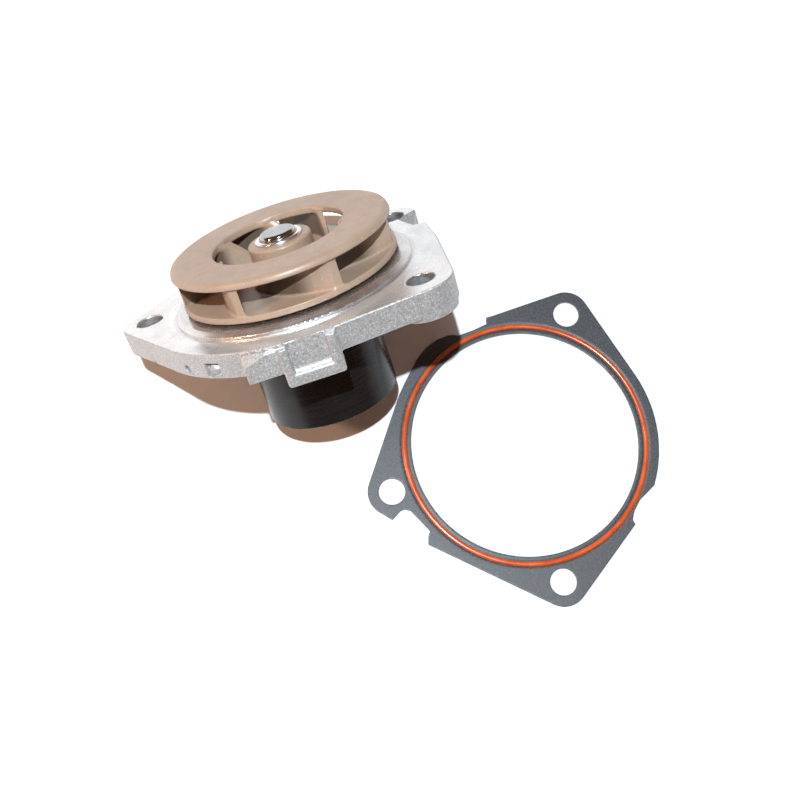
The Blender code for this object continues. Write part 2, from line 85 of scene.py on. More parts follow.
def hull_of_circles(x, y, deg, r_ring, r_ear, reach):
    """Distance to the hull of a ring at the centre and an ear circle at reach along deg."""
    c, s = math.cos(math.radians(deg)), math.sin(math.radians(deg))
    u = x * c + y * s
    v = np.abs(-x * s + y * c)
    b = (r_ring - r_ear) / reach
    a = math.sqrt(1 - b * b)
    k = -b * v + a * u
    ring = np.hypot(v, u) - r_ring
    ear = np.hypot(v, u - reach) - r_ear
    side = v * a + u * b - r_ring
    return np.where(k < 0, ring, np.where(k > a * reach, ear, side))


def slab_of(d2, z, low, high, r=0.0):
    dz = np.abs(z - (low + high) / 2) - (high - low) / 2
    a, b = d2 + r, dz + r
    return np.minimum(np.maximum(a, b), 0) + np.hypot(np.maximum(a, 0), np.maximum(b, 0)) - r


def turned_frame(x, y, deg):
    c, s = math.cos(math.radians(deg)), math.sin(math.radians(deg))
    return x * c + y * s, -x * s + y * c


def box_of(d, s, z, d_low, d_high, s_low, s_high, z_low, z_high, r=0.0):
    a = np.abs(d - (d_low + d_high) / 2) - (d_high - d_low) / 2 + r
    b = np.abs(s - (s_low + s_high) / 2) - (s_high - s_low) / 2 + r
    c = np.abs(z - (z_low + z_high) / 2) - (z_high - z_low) / 2 + r
    outside = np.sqrt(np.maximum(a, 0) ** 2 + np.maximum(b, 0) ** 2 + np.maximum(c, 0) ** 2)
    return outside + np.minimum(np.maximum(np.maximum(a, b), c), 0) - r


def dual_contour(field, low, high, step):
    """A closed quad mesh of field = 0 whose points sit on the edges and corners of the solid."""
    axes = [np.arange(low[i], high[i] + step, step, dtype=np.float32) for i in range(3)]
    nx, ny, nz = (len(a) for a in axes)
    value = np.empty((nx, ny, nz), np.float32)
    chunk = max(1, int(1.5e6 / (ny * nz)))
    for start in range(0, nx, chunk):
        gx, gy, gz = np.meshgrid(axes[0][start : start + chunk], axes[1], axes[2], indexing="ij")
        value[start : start + chunk] = field(gx, gy, gz)
    inside = value < 0
    count = (nx - 1) * (ny - 1) * (nz - 1)
    points, normals, cells_of, flips = [], [], [], []
    for axis in range(3):
        near = [slice(None)] * 3
        far = [slice(None)] * 3
        near[axis], far[axis] = slice(0, -1), slice(1, None)
        crossing = inside[tuple(near)] != inside[tuple(far)]
        i = np.argwhere(crossing)
        p = np.empty((len(i), 3))
        for c in range(3):
            p[:, c] = axes[c][i[:, c]]
        v0 = value[tuple(near)][crossing].astype(float)
        v1 = value[tuple(far)][crossing].astype(float)
        a, b = np.zeros(len(i)), np.ones(len(i))
        t = v0 / (v0 - v1)
        for _ in range(3):
            q = p.copy()
            q[:, axis] += t * step
            f = field(q[:, 0], q[:, 1], q[:, 2])
            same = (f < 0) == (v0 < 0)
            a = np.where(same, t, a)
            v0n = np.where(same, f, v0)
            b = np.where(same, b, t)
            v1n = np.where(same, v1, f)
            gap = np.where(np.abs(v0n - v1n) < 1e-12, 1.0, v0n - v1n)
            t = np.clip(a + (b - a) * v0n / gap, 0, 1)
            v0, v1 = v0n, v1n
        q = p.copy()
        q[:, axis] += t * step
        e = 0.04 * step
        n = np.stack(
            [
                field(q[:, 0] + e, q[:, 1], q[:, 2]) - field(q[:, 0] - e, q[:, 1], q[:, 2]),
                field(q[:, 0], q[:, 1] + e, q[:, 2]) - field(q[:, 0], q[:, 1] - e, q[:, 2]),
                field(q[:, 0], q[:, 1], q[:, 2] + e) - field(q[:, 0], q[:, 1], q[:, 2] - e),
            ],
            axis=1,
        )
        n /= np.maximum(np.linalg.norm(n, axis=1, keepdims=True), 1e-12)
        u, w = [(1, 2), (2, 0), (0, 1)][axis]
        inner = (i[:, u] > 0) & (i[:, w] > 0) & (i[:, u] < (nx, ny, nz)[u] - 1) & (i[:, w] < (nx, ny, nz)[w] - 1)
        i, q, n = i[inner], q[inner], n[inner]
        corner = []
        for du, dw in ((-1, -1), (0, -1), (0, 0), (-1, 0)):
            c = i.copy()
            c[:, u] += du
            c[:, w] += dw
            corner.append((c[:, 0] * (ny - 1) + c[:, 1]) * (nz - 1) + c[:, 2])
        points.append(q)
        normals.append(n)
        cells_of.append(np.stack(corner, axis=1))
        flips.append(inside[tuple(near)][crossing][inner])
    q = np.concatenate(points)
    n = np.concatenate(normals)
    cells = np.concatenate(cells_of)
    flip = np.concatenate(flips)
    used, index = np.unique(cells.reshape(-1), return_inverse=True)
    index = index.reshape(-1, 4)
    m = len(used)
    total = np.bincount(index.reshape(-1), minlength=m).astype(float)
    mean = np.stack([np.bincount(index.reshape(-1), np.repeat(q[:, c], 4), m) / total for c in range(3)], axis=1)
    ata = np.zeros((m, 3, 3))
    atb = np.zeros((m, 3))
    flat = index.reshape(-1)
    qq, nn = np.repeat(q, 4, axis=0), np.repeat(n, 4, axis=0)
    d = np.einsum("ij,ij->i", nn, qq - mean[flat])
    for r in range(3):
        atb[:, r] = np.bincount(flat, nn[:, r] * d, m)
        for c in range(r, 3):
            ata[:, r, c] = ata[:, c, r] = np.bincount(flat, nn[:, r] * nn[:, c], m)
    ata += np.eye(3) * 0.06
    move = np.linalg.solve(ata, atb[:, :, None])[:, :, 0]
    cell = np.stack([used // ((ny - 1) * (nz - 1)), (used // (nz - 1)) % (ny - 1), used % (nz - 1)], axis=1)
    corner_low = np.stack([axes[c][cell[:, c]] for c in range(3)], axis=1).astype(float)
    place = np.clip(mean + move, corner_low - 0.15 * step, corner_low + 1.15 * step)
    quads = np.where(flip[:, None], index[:, ::-1], index)
    return place, quads[:, ::-1]


def mesh_from(name, points, faces, material_list, place):
    mesh = bpy.data.meshes.new(name)
    mesh.vertices.add(len(points))
    mesh.vertices.foreach_set("co", (np.asarray(points, np.float32) * MM).ravel())
    faces = np.asarray(faces, np.int32)
    mesh.loops.add(faces.size)
    mesh.loops.foreach_set("vertex_index", faces.ravel())
    mesh.polygons.add(len(faces))
    mesh.polygons.foreach_set("loop_start", np.arange(len(faces), dtype=np.int32) * faces.shape[1])
    mesh.update(calc_edges=True)
    mesh.validate()
    for m in material_list:
        mesh.materials.append(m)
    obj = bpy.data.objects.new(name, mesh)
    bpy.context.scene.collection.objects.link(obj)
    obj.matrix_world = place
    return obj


def true_normals(obj, field):
    """Takes the normal at each corner from the shape's own function, so that thinned faces shade as the true surface."""
    mesh = obj.data
    corner = np.empty(len(mesh.loops), np.int32)
    mesh.loops.foreach_get("vertex_index", corner)
    points = np.empty(len(mesh.vertices) * 3, np.float32)
    mesh.vertices.foreach_get("co", points)
    points = points.reshape(-1, 3).astype(np.float64) / MM
    total = np.empty(len(mesh.polygons), np.int32)
    mesh.polygons.foreach_get("loop_total", total)
    face = np.repeat(np.arange(len(total)), total)
    centre, flat = face_data(obj)
    sharp = np.empty(len(mesh.edges), bool)
    mesh.attributes["sharp_edge"].data.foreach_get("value", sharp)
    ends = np.empty(len(mesh.edges) * 2, np.int32)
    mesh.edges.foreach_get("vertices", ends)
    at_edge = np.zeros(len(points), bool)
    at_edge[ends.reshape(-1, 2)[sharp].ravel()] = True
    at = np.where(at_edge[corner][:, None], points[corner] * 0.7 + centre[face] * 0.3, points[corner])
    h = 0.10
    slope = np.empty_like(at)
    for axis in range(3):
        ahead, behind = at.copy(), at.copy()
        ahead[:, axis] += h
        behind[:, axis] -= h
        slope[:, axis] = field(*ahead.T) - field(*behind.T)
    slope /= np.maximum(np.linalg.norm(slope, axis=1), 1e-9)[:, None]
    astray = (slope * flat[face]).sum(axis=1) < math.cos(math.radians(40.0))
    slope[astray] = flat[face][astray]
    mesh.normals_split_custom_set(slope.tolist())


def clean(obj, sharp_deg=32.0, field=None):
    """Shades smooth up to an angle, sets the normals and bakes the placement into the mesh."""
    bm = bmesh.new()
    bm.from_mesh(obj.data)
    bmesh.ops.recalc_face_normals(bm, faces=bm.faces)
    bm.to_mesh(obj.data)
    bm.free()
    obj.data.shade_smooth()
    obj.data.set_sharp_from_angle(angle=math.radians(sharp_deg))
    if field is not None:
        true_normals(obj, field)
    else:
        weight = obj.modifiers.new("weight", "WEIGHTED_NORMAL")
        weight.keep_sharp = True
        weight.weight = 60
    obj.data.transform(obj.matrix_world)
    obj.matrix_world = Matrix.Identity(4)
    return obj


# ------------------------------------------------------------------ the housing
EARS = ((149.2, 9.0), (296.7, 10.0), (19.6, 8.4))
CIRCLE_R = 49.3


def flange_plan(x, y):
    d = None
    for deg, r in EARS:
        e = hull_of_circles(x, y, deg, 47.6, r, CIRCLE_R)
        d = e if d is None else np.minimum(d, e)
    # open notch between the back ear and the rim
    lower = -(0.54 * (x - 45.9) + 0.84 * (y - 0.5))
    upper = -0.155 * (x - 46.46) + 0.988 * (y - 11.85)
    notch = np.maximum(np.maximum(lower, upper), 46.0 + 0.045 * np.maximum(y, 0.0) - x)
    return smax(d, -notch, 0.35)


def housing_field(x, y, z):
    r = np.hypot(x, y)
    plan = flange_plan(x, y)
    # flange plate with rounded lower edge and a slight draft
    body = slab_of(plan + 0.035 * (-z - 4.0), z, -8.4, 6.0, 1.1)
    # underside: a ring recess crossed by ribs
    ring = np.maximum(np.abs(r - 30.6) - 6.6, z + 4.4)
    ring = np.maximum(ring, -12.0 - z)
    ribs = None
    for k in range(6):
        u, v = turned_frame(x, y, 60.0 * k + 14.0)
        e = np.maximum(np.abs(v) - (1.5 + 0.03 * (z + 12.0)), -u)
        ribs = e if ribs is None else np.minimum(ribs, e)
    ring = smax(ring, -ribs, 1.6)
    body = smax(body, -ring, 1.2)
    # bearing nose with a rounded root and a collar round the root
    cone = np.maximum(r - (17.2 + 0.25 * (z + 12.0)), -(z + 12.2))
    nose = slab_of(r - (15.75 + 0.008 * (z + 36.0)), z, -36.0, -2.0, 0.9)
    body = smin(body, np.maximum(nose, z + 0.5), 1.8)
    body = np.minimum(body, np.maximum(np.maximum(r - 21.0, z + 1.0), -8.8 - z))
    # bosses under the ears
    for deg, rr, end in ((296.7, 9.2, -10.4), (149.2, 8.2, -8.9), (19.6, 7.9, -8.9)):
        cx, cy = CIRCLE_R * math.cos(math.radians(deg)), CIRCLE_R * math.sin(math.radians(deg))
        boss = slab_of(np.hypot(x - cx, y - cy) - rr, z, end, -1.5, 0.7)
        body = smin(body, boss, 1.0)
    # side lug with its framed panel
    d, s = turned_frame(x, y, 248.0)
    lug = box_of(d, s, z, 39.0, 48.5, -9.0, 8.6, -14.0, 4.0, 1.1)
    body = smin(body, lug, 1.1)
    pad = box_of(d, s, z, 39.0, 47.4, -19.6, -8.0, -9.3, -0.9, 0.5)
    body = smin(body, pad, 0.5)
    panel = box_of(d, s, z, 47.0, 56.0, -6.2, 5.6, -10.2, 12.0, 0.5)
    panel = smax(panel, -(d - 47.0) + np.maximum(-(z + 8.6), 0) * 0.55, 1.4)
    body = smax(body, -panel, 0.7)
    notch = box_of(d, s, z, 46.9, 56.0, -12.2, -6.4, -1.6, 12.0, 0.4)
    body = smax(body, -notch, 0.4)
    # straight pad that the pump lies on, and the lug behind it
    d, s = turned_frame(x, y, 76.9)
    rest = box_of(d, s, z, 38.0, 48.0, -16.0, 16.5, -8.6, 4.0, 0.35)
    body = smin(body, rest, 0.8)
    d, s = turned_frame(x, y, 107.5)
    back = box_of(d, s, z, 38.0, 48.4, -7.0, 7.0, -10.0, 4.0, 0.9)
    body = smin(body, back, 1.0)
    # wall pocket with a domed plug, weep hole, scoop and slit
    d, s = turned_frame(x, y, 210.0)
    pocket = box_of(d, s, z, 45.2, 60.0, -2.6, 2.8, -7.6, -3.0, 0.5)
    body = smax(body, -pocket, 0.35)
    dome = np.sqrt((d - 44.6) ** 2 + (s + 0.7) ** 2 + (z + 5.9) ** 2) - 2.5
    body = smin(body, dome, 0.25)
    d, s = turned_frame(x, y, 196.4)
    weep = np.maximum(np.hypot(s, z + 5.5) - 1.3, 38.0 - d)
    body = smax(body, -weep, 0.35)
    d, s = turned_frame(x, y, 184.0)
    scoop = np.sqrt((d - 50.2) ** 2 + (s * 0.75) ** 2 + (z + 6.2) ** 2) - 3.2
    body = smax(body, -scoop, 0.4)
    d, s = turned_frame(x, y, 169.5)
    slit = box_of(d, s, z, 45.0, 60.0, -1.1, 1.1, -8.0, -7.2, 0.2)
    body = smax(body, -slit, 0.25)
    # machined mating face, its chamfer and the stepped spigot
    body = np.maximum(body, z)
    body = np.maximum(body, (plan + z) * 0.70711 + 0.16)
    spigot = np.maximum(np.maximum(r - 39.1, z - 2.2), -4.0 - z)
    spigot = np.maximum(spigot, (r - 39.1 + (z - 2.2) * 0.9) * 0.743 + 0.95)
    spigot = np.maximum(spigot, (r - 39.1 + z - 2.2) * 0.70711 + 0.25)
    body = np.minimum(body, spigot)
    # annular recess that the mechanical seal sits in, and the bearing bore
    body = np.maximum(body, -np.maximum(r - 18.2, -1.6 - z))
    body = np.maximum(body, -np.maximum(r - 15.1, -11.0 - z))
    body = np.maximum(body, -(r - 13.05))
    # bolt holes with broken edges
    for deg, _ in EARS:
        cx, cy = CIRCLE_R * math.cos(math.radians(deg)), CIRCLE_R * math.sin(math.radians(deg))
        q = np.hypot(x - cx, y - cy)
        body = np.maximum(body, -(q - 4.5))
        body = np.maximum(body, -((q - 4.5 - z * 1.0) * 0.70711 - 0.22))
    return body


# ------------------------------------------------------------------ the impeller
VANE_GROWTH = math.log(34.85 / 19.6) / math.radians(45.6)
SINE = math.sin(math.atan(VANE_GROWTH))


def impeller_field(x, y, z):
    r = np.hypot(x, y)
    angle = np.degrees(np.arctan2(y, x))
    disc = slab_of(r - 35.1, z, 3.2, 5.2, 0.35)
    hub = slab_of(r - 10.3, z, 2.6, 15.6, 0.9)
    body = smin(disc, hub, 2.2)
    r_safe = np.maximum(r, 5.0)
    centre = 219.9 - np.degrees(np.log(34.85 / r_safe) / VANE_GROWTH)
    away = (angle - centre + 360.0 / 14) % (360.0 / 7) - 360.0 / 14
    half = 0.78 + 0.06 * np.clip((r - 14.5) / 20.0, 0, 1)
    vane = np.abs(np.radians(away) * r) * SINE - half
    inner = 14.3 - (r - (z - 4.8) * 0.50)
    vane = smax(vane, inner * 0.80, 0.5)
    vane = smax(vane, r - 34.85, 0.25)
    vane = np.maximum(vane, np.maximum(z - 15.5, 4.0 - z))
    body = smin(body, vane, 1.1)
    ring = slab_of(np.abs(r - 28.75) - 7.25, z, 14.3, 16.7, 0.5)
    ring = smax(ring, (r - 36.0 + (z - 16.7)) * 0.70711 + 0.75, 1.0)
    body = smin(body, ring, 1.0)
    body = np.maximum(body, z - 16.7)
    body = np.maximum(body, -(r - 7.78))
    return body


# ------------------------------------------------------------------ the gasket
GASKET_EARS = ((71.7, 8.3), (201.2, 8.3), (284.0, 8.3))


def ear_reach(deg, ear_deg, ear_r, ring_r):
    delta = abs((deg - ear_deg + 180.0) % 360.0 - 180.0)
    tangent = math.degrees(math.acos((ring_r - ear_r) / CIRCLE_R))
    if delta >= tangent:
        return ring_r
    t = math.radians(tangent)
    touch = math.degrees(math.atan2(ear_r * math.sin(t), CIRCLE_R + ear_r * math.cos(t)))
    if delta > touch:
        return ring_r / math.cos(math.radians(tangent - delta))
    side = CIRCLE_R * math.sin(math.radians(delta))
    return CIRCLE_R * math.cos(math.radians(delta)) + math.sqrt(max(0.0, ear_r**2 - side**2))


def gasket_outline():
    """Polar outline with the two lug notches, the hook tab and the straight shoulder."""
    ring, notch, shoulder = 46.6, 44.6, 47.6
    line = 284.0 - math.degrees(math.acos((ring - 8.3) / CIRCLE_R))

    def edge(a):
        return max(ear_reach(a, e, r, ring) for e, r in GASKET_EARS)

    free = [(float(a), edge(float(a))) for a in np.arange(0, 360, 1.0)]
    points = [p for p in free if p[0] < 103.0]
    points += [(103.5, edge(103.5)), (106.1, 46.9), (106.9, notch), (114.0, 44.0), (121.2, notch), (122.6, 45.6)]
    points += [(125.0, 46.6), (130.0, shoulder), (136.0, 48.0), (142.0, shoulder), (147.5, 46.9), (153.0, ring)]
    points += [p for p in free if 158.0 < p[0] < 208.0]
    points += [(209.6, edge(209.6)), (211.0, 53.4), (210.4, 51.5), (209.6, 49.4), (209.9, 47.9), (211.6, 46.5)]
    points += [(217.0, 45.7), (223.3, 45.4), (224.6, 47.2)]
    points += [(a, ring / math.cos(math.radians(a - line))) for a in (226.8, 235.0)]
    points += [p for p in free if 245.0 < p[0] < 322.0]
    points += [(323.0, ring), (324.0, 44.9), (327.5, 43.9), (333.6, 43.8), (338.5, 45.3), (342.0, ring)]
    points += [p for p in free if p[0] > 343.0]
    return np.array([(r * math.cos(math.radians(a)), r * math.sin(math.radians(a))) for a, r in points])


OUTLINE = gasket_outline()
PLAN_STEP = 0.25
PLAN_AXIS = np.arange(-62.0, 62.0 + PLAN_STEP, PLAN_STEP)


def plan_grid():
    """Signed distance to the outline on a flat grid, read back by bilinear steps."""
    gx, gy = np.meshgrid(PLAN_AXIS, PLAN_AXIS, indexing="ij")
    best = np.full(gx.shape, 1e9)
    inside = np.zeros(gx.shape, bool)
    for (ax, ay), (bx, by) in zip(OUTLINE, np.roll(OUTLINE, -1, axis=0)):
        ex, ey = bx - ax, by - ay
        t = np.clip(((gx - ax) * ex + (gy - ay) * ey) / (ex * ex + ey * ey), 0, 1)
        best = np.minimum(best, np.hypot(gx - ax - t * ex, gy - ay - t * ey))
        if ay != by:
            inside ^= ((ay > gy) != (by > gy)) & (gx < (bx - ax) * (gy - ay) / (by - ay) + ax)
    return np.where(inside, -best, best)


PLAN = plan_grid()


def read_plan(x, y):
    u = np.clip((x - PLAN_AXIS[0]) / PLAN_STEP, 0, len(PLAN_AXIS) - 1.001)
    v = np.clip((y - PLAN_AXIS[0]) / PLAN_STEP, 0, len(PLAN_AXIS) - 1.001)
    i, j = u.astype(int), v.astype(int)
    fu, fv = u - i, v - j
    return (
        PLAN[i, j] * (1 - fu) * (1 - fv) + PLAN[i + 1, j] * fu * (1 - fv)
        + PLAN[i, j + 1] * (1 - fu) * fv + PLAN[i + 1, j + 1] * fu * fv
    )


def carrier_field(x, y, z):
    r = np.hypot(x, y)
    plan = read_plan(x, y)
    plan = smax(plan, 39.45 - r, 0.05)
    for deg, _ in GASKET_EARS:
        cx, cy = CIRCLE_R * math.cos(math.radians(deg)), CIRCLE_R * math.sin(math.radians(deg))
        plan = np.maximum(plan, 4.5 - np.hypot(x - cx, y - cy))
    top = 1.0
    # a shallow embossed ridge inside the bead and a groove that the bead sits in
    ridge = 0.04 * np.exp(-(((r - 40.3) / 0.45) ** 2))
    groove = -0.22 * np.exp(-(((r - 42.0) / 1.15) ** 4))
    body = slab_of(plan, z, 0.0, 0.96, 0.22)
    return smax(body, z - (top - 0.04) - ridge - groove, 0.05)


def lathe(name, profile, segments, material_list, place, closed=True):
    """A turned solid from a closed (r, z) profile, in millimetres; points on the axis are shared."""
    points, rings = [], []
    for r, z in profile:
        if r < 1e-6:
            rings.append([len(points)] * segments)
            points.append((0.0, 0.0, z))
        else:
            rings.append(list(range(len(points), len(points) + segments)))
            points += [
                (r * math.cos(2 * math.pi * k / segments), r * math.sin(2 * math.pi * k / segments), z)
                for k in range(segments)
            ]
    mesh = bpy.data.meshes.new(name)
    faces = []
    pairs = list(zip(rings, rings[1:])) + ([(rings[-1], rings[0])] if closed else [])
    for a, b in pairs:
        for k in range(segments):
            n = (k + 1) % segments
            face = [a[k], a[n], b[n], b[k]]
            face = [p for i, p in enumerate(face) if p != face[i - 1]]
            if len(set(face)) >= 3:
                faces.append(face)
    mesh.from_pydata([Vector(p) * MM for p in points], [], faces)
    mesh.validate()
    for m in material_list:
        mesh.materials.append(m)
    obj = bpy.data.objects.new(name, mesh)
    bpy.context.scene.collection.objects.link(obj)
    obj.matrix_world = place
    return obj


def rounded(profile, radii, steps=4):
    """Rounds the corners of a closed (r, z) profile; radii has one value per corner."""
    out = []
    n = len(profile)
    for i, (r, z) in enumerate(profile):
        rad = radii[i]
        if rad <= 0:
            out.append((r, z))
            continue
        p, a, b = Vector((r, z)), Vector(profile[i - 1]), Vector(profile[(i + 1) % n])
        u, v = (a - p).normalized(), (b - p).normalized()
        angle = u.angle(v)
        cut = min(rad / math.tan(angle / 2), (a - p).length * 0.48, (b - p).length * 0.48)
        rr = cut * math.tan(angle / 2)
        centre = p + (u + v).normalized() * (rr / math.sin(angle / 2))
        s, e = p + u * cut - centre, p + v * cut - centre
        turn = math.atan2(s.x * e.y - s.y * e.x, s.dot(e))
        for k in range(steps + 1):
            t = turn * k / steps
            q = Vector((s.x * math.cos(t) - s.y * math.sin(t), s.x * math.sin(t) + s.y * math.cos(t))) + centre
            out.append((q.x, q.y))
    return out


# ------------------------------------------------------------------ materials
class Shader:
    """A material built from nodes, with short helpers for the patterns used here. Its
    coordinates are those of `place`, whose Z axis is the axis of the pump or of the gasket."""

    place = pump_place

    def __init__(self, name, roughness=0.5, metallic=0.0, **constants):
        self.mat = bpy.data.materials.new(name)
        self.mat.use_nodes = True
        self.nt = self.mat.node_tree
        self.bsdf = self.nt.nodes["Principled BSDF"]
        self.bsdf.inputs["Roughness"].default_value = roughness
        self.bsdf.inputs["Metallic"].default_value = metallic
        for key, value in constants.items():
            self.bsdf.inputs[key.replace("_", " ")].default_value = value
        local = self.add("ShaderNodeMapping", vector_type="TEXTURE")
        local.inputs["Location"].default_value = self.place.translation
        local.inputs["Rotation"].default_value = self.place.to_euler()
        self.link(self.add("ShaderNodeTexCoord").outputs["Object"], local.inputs["Vector"])
        self.coord = local.outputs[0]

    def add(self, kind, **props):
        node = self.nt.nodes.new(kind)
        for key, value in props.items():
            setattr(node, key, value)
        return node

    def link(self, a, b):
        self.nt.links.new(a, b)

    def math(self, operation, a, b=None, c=None, clamp=False):
        node = self.add("ShaderNodeMath", operation=operation, use_clamp=clamp)
        for socket, value in zip(node.inputs, (a, b, c)):
            if value is None:
                continue
            if isinstance(value, (int, float)):
                socket.default_value = value
            else:
                self.link(value, socket)
        return node.outputs[0]

    def scaled(self, x, y, z, vector=None):
        node = self.add("ShaderNodeMapping")
        node.inputs["Scale"].default_value = (x, y, z)
        self.link(vector or self.coord, node.inputs["Vector"])
        return node.outputs[0]

    def noise(self, scale, detail=3.0, rough=0.55, vector=None, distortion=0.0):
        node = self.add("ShaderNodeTexNoise")
        node.inputs["Scale"].default_value = scale
        node.inputs["Detail"].default_value = detail
        node.inputs["Roughness"].default_value = rough
        node.inputs["Distortion"].default_value = distortion
        self.link(vector or self.coord, node.inputs["Vector"])
        return node.outputs["Fac"]

    def cells(self, scale, vector=None, feature="F1", output="Distance"):
        node = self.add("ShaderNodeTexVoronoi", feature=feature)
        node.inputs["Scale"].default_value = scale
        self.link(vector or self.coord, node.inputs["Vector"])
        return node.outputs[output]

    def ramp(self, value, stops):
        node = self.add("ShaderNodeValToRGB")
        while len(node.color_ramp.elements) < len(stops):
            node.color_ramp.elements.new(0.5)
        for element, (at, colour) in zip(node.color_ramp.elements, stops):
            element.position = at
            element.color = (*colour, 1.0) if hasattr(colour, "__len__") else (colour, colour, colour, 1.0)
        self.link(value, node.inputs["Fac"])
        return node.outputs["Color"]

    def span(self, value, a, b, c=0.0, d=1.0):
        node = self.add("ShaderNodeMapRange")
        for socket, v in zip(list(node.inputs)[1:5], (a, b, c, d)):
            socket.default_value = v
        self.link(value, node.inputs["Value"])
        return node.outputs["Result"]

    def mix(self, fac, a, b, blend="MIX"):
        node = self.add("ShaderNodeMix", data_type="RGBA", blend_type=blend)
        for socket, value in ((node.inputs[0], fac), (node.inputs[6], a), (node.inputs[7], b)):
            if isinstance(value, (int, float)):
                socket.default_value = value
            elif hasattr(value, "__len__"):
                socket.default_value = (*value, 1.0)
            else:
                self.link(value, socket)
        return node.outputs[2]

    def radius(self):
        parts = self.add("ShaderNodeSeparateXYZ")
        self.link(self.coord, parts.inputs[0])
        x, y = parts.outputs[0], parts.outputs[1]
        return self.math("SQRT", self.math("ADD", self.math("MULTIPLY", x, x), self.math("MULTIPLY", y, y)))

    def height(self):
        parts = self.add("ShaderNodeSeparateXYZ")
        self.link(self.coord, parts.inputs[0])
        return parts.outputs[2]

    def polar(self, around, along, up):
        """Coordinates (radius, height, angle) scaled, for marks that run round the axis."""
        parts = self.add("ShaderNodeSeparateXYZ")
        self.link(self.coord, parts.inputs[0])
        angle = self.math("ARCTAN2", parts.outputs[1], parts.outputs[0])
        join = self.add("ShaderNodeCombineXYZ")
        self.link(self.math("MULTIPLY", self.radius(), along), join.inputs[0])
        self.link(self.math("MULTIPLY", parts.outputs[2], up), join.inputs[1])
        self.link(self.math("MULTIPLY", angle, around), join.inputs[2])
        return join.outputs[0]

    def colour(self, value):
        self.link(value, self.bsdf.inputs["Base Color"])

    def rough(self, value):
        self.link(value, self.bsdf.inputs["Roughness"])

    def bump(self, *layers):
        """Each layer is (height, strength, distance in metres)."""
        normal = None
        for height, strength, distance in layers:
            node = self.add("ShaderNodeBump")
            node.inputs["Strength"].default_value = strength
            node.inputs["Distance"].default_value = distance
            self.link(height, node.inputs["Height"])
            if normal is not None:
                self.link(normal, node.inputs["Normal"])
            normal = node.outputs["Normal"]
        self.link(normal, self.bsdf.inputs["Normal"])

    def turn_grain(self, amount):
        """Anisotropic shine of a surface turned or faced about the local Z axis."""
        parts = self.add("ShaderNodeSeparateXYZ")
        self.link(self.coord, parts.inputs[0])
        join = self.add("ShaderNodeCombineXYZ")
        self.link(self.math("MULTIPLY", parts.outputs[1], -1.0), join.inputs[0])
        self.link(parts.outputs[0], join.inputs[1])
        back = self.add("ShaderNodeMapping", vector_type="VECTOR")
        back.inputs["Rotation"].default_value = self.place.to_euler()
        self.link(join.outputs[0], back.inputs["Vector"])
        turn = self.add("ShaderNodeVectorTransform", vector_type="VECTOR", convert_from="OBJECT", convert_to="WORLD")
        self.link(back.outputs[0], turn.inputs[0])
        self.link(turn.outputs[0], self.bsdf.inputs["Tangent"])
        self.bsdf.inputs["Anisotropic"].default_value = amount


def cast_aluminium():
    s = Shader("cast_aluminium", metallic=0.55)
    big = s.noise(70.0, 3.0)
    grain = s.noise(1500.0, 4.0, 0.65)
    fleck = s.cells(1700.0, output="Color")
    fleck_value = s.math("GREATER_THAN", s.noise(2600.0, 2.0, 0.5), 0.60)
    base = s.mix(s.span(grain, 0.35, 0.65), (0.360, 0.355, 0.358), (0.595, 0.588, 0.590))
    base = s.mix(s.span(big, 0.3, 0.7, 0.0, 0.35), base, (0.40, 0.385, 0.38))
    base = s.mix(s.math("MULTIPLY", fleck_value, 0.55), base, (0.90, 0.89, 0.88))
    s.colour(base)
    s.rough(s.span(grain, 0.3, 0.7, 0.40, 0.60))
    s.bump((grain, 0.55, 0.00016), (s.cells(900.0), 0.35, 0.00014), (big, 0.3, 0.0004))
    return s.mat


def machined_aluminium():
    """Faced flange, and inside a radius of 40 mm the brighter turned spigot."""
    s = Shader("machined_aluminium")
    rings = s.noise(1.0, 3.0, 0.6, vector=s.polar(1.6, 2600.0, 500.0))
    wide = s.noise(1.0, 2.0, 0.5, vector=s.polar(2.2, 160.0, 60.0))
    mottle = s.noise(150.0, 4.0)
    turned = s.span(s.radius(), 0.0405, 0.0396)
    fill = s.span(rings, 0.3, 0.7)
    flat = s.mix(fill, (0.74, 0.735, 0.74), (0.88, 0.875, 0.88))
    base = s.mix(turned, flat, s.mix(fill, (0.58, 0.565, 0.56), (0.84, 0.83, 0.83)))
    base = s.mix(s.span(mottle, 0.45, 0.75, 0.0, 0.25), base, (0.56, 0.545, 0.54))
    s.colour(base)
    s.link(s.span(turned, 0.0, 1.0, 0.68, 0.95), s.bsdf.inputs["Metallic"])
    s.rough(s.math("ADD", s.span(wide, 0.3, 0.7, 0.19, 0.32), s.span(mottle, 0.4, 0.7, 0.0, 0.07)))
    s.bump((rings, 0.10, 0.00003), (mottle, 0.08, 0.0001))
    s.turn_grain(0.6)
    return s.mat


def drilled_aluminium():
    s = Shader("drilled_aluminium", metallic=1.0)
    lines = s.noise(1.0, 3.0, 0.6, vector=s.scaled(300.0, 300.0, 3200.0))
    base = s.mix(s.span(lines, 0.35, 0.65), (0.42, 0.42, 0.43), (0.76, 0.76, 0.77))
    s.colour(base)
    s.rough(s.span(lines, 0.3, 0.7, 0.28, 0.48))
    s.bump((lines, 0.5, 0.00012))
    return s.mat


